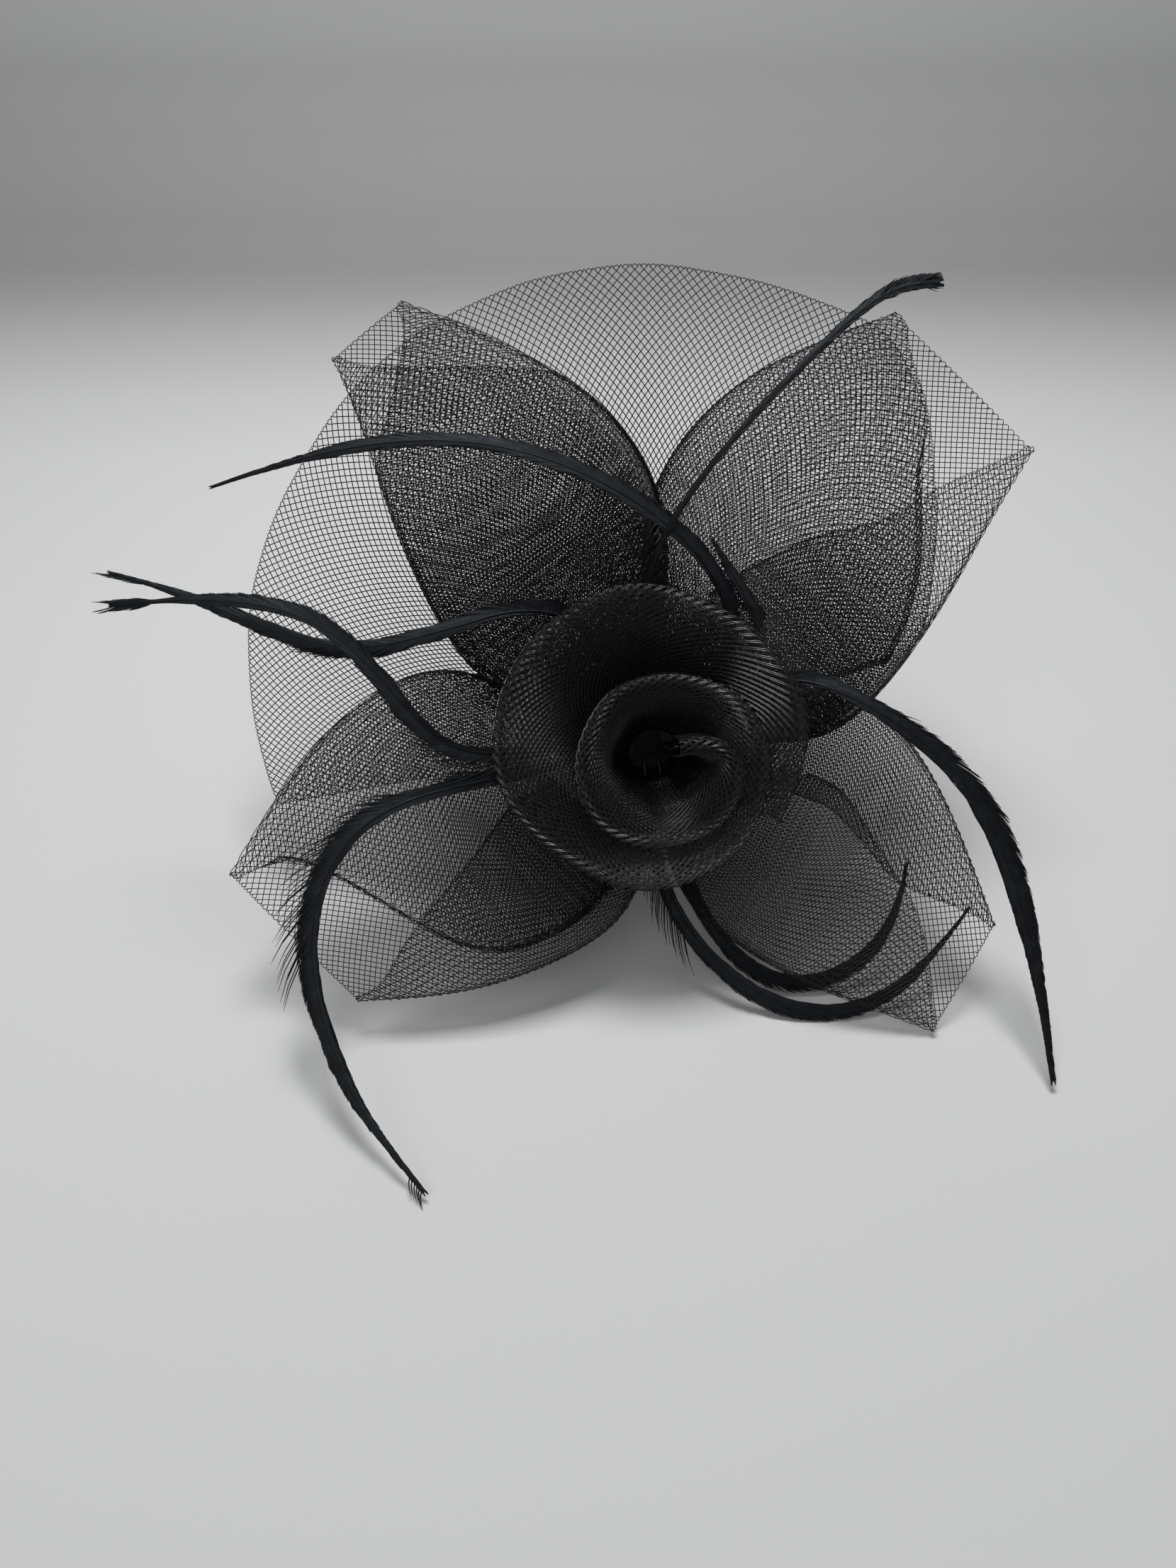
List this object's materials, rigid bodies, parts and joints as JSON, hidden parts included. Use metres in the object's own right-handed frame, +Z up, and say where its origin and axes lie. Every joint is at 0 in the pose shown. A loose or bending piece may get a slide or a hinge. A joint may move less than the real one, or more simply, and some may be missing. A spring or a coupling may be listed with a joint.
{
  "type": "fascinator headpiece",
  "caption": "Headpiece: a flower of four folded open-mesh petals and a fan round a rolled rosette, with long trimmed feathers, on a felt base with a sprung hair clip.",
  "frame": {"origin": "middle of the round base's back face, where the hair clip grips", "axes": "+Z up as worn and as it stands, +X to the right seen from the front; the flower faces -Y and up, its axis 40 degrees above the horizontal"},
  "size_m": [0.3261, 0.2829, 0.2113],
  "materials": {
    "crin": "open mesh of glossy black filament",
    "rosette_crin": "doubled open mesh of glossy black filament",
    "feather": "black with a slight blue-grey sheen",
    "felt": "matt pressed felt",
    "thread": "twisted sewing thread",
    "steel": "plated steel strip",
    "pin_steel": "polished",
    "spring_steel": "drawn wire"
  },
  "bodies": {
    "flower": {"base_pad": "felt", "core_button": "felt", "clip_plate": "steel", "clip_pin": "pin_steel", "clip_spring": "spring_steel", "stitch_front": "thread", "stitch_back": "thread", "fan": "crin", "petal_upper_left_back": "crin", "petal_upper_left_sides": "crin", "petal_upper_left_flaps": "crin", "petal_upper_right_back": "crin", "petal_upper_right_sides": "crin", "petal_upper_right_flaps": "crin", "petal_lower_right_back": "crin", "petal_lower_right_sides": "crin", "petal_lower_right_flaps": "crin", "petal_lower_left_back": "crin", "petal_lower_left_sides": "crin", "petal_lower_left_flaps": "crin", "rosette": "rosette_crin", "feather_arc_left": "feather", "feather_arc_short": "feather", "feather_upper_right": "feather", "feather_left_high": "feather", "feather_left_low": "feather", "feather_sweep": "feather", "feather_right": "feather", "feather_under_outer": "feather", "feather_under_inner": "feather"},
    "jaw": {"clip_lever": "steel"}
  },
  "joints": [
    {"name": "clip_open", "type": "hinge", "parent": "flower", "child": "jaw", "pos_m": [0, -0.00753, -0.01457], "axis": [-1, 0, 0], "range_deg": [0, 28], "stiffness_Nm_per_rad": 0.02, "springref_deg": -8.59}
  ]
}
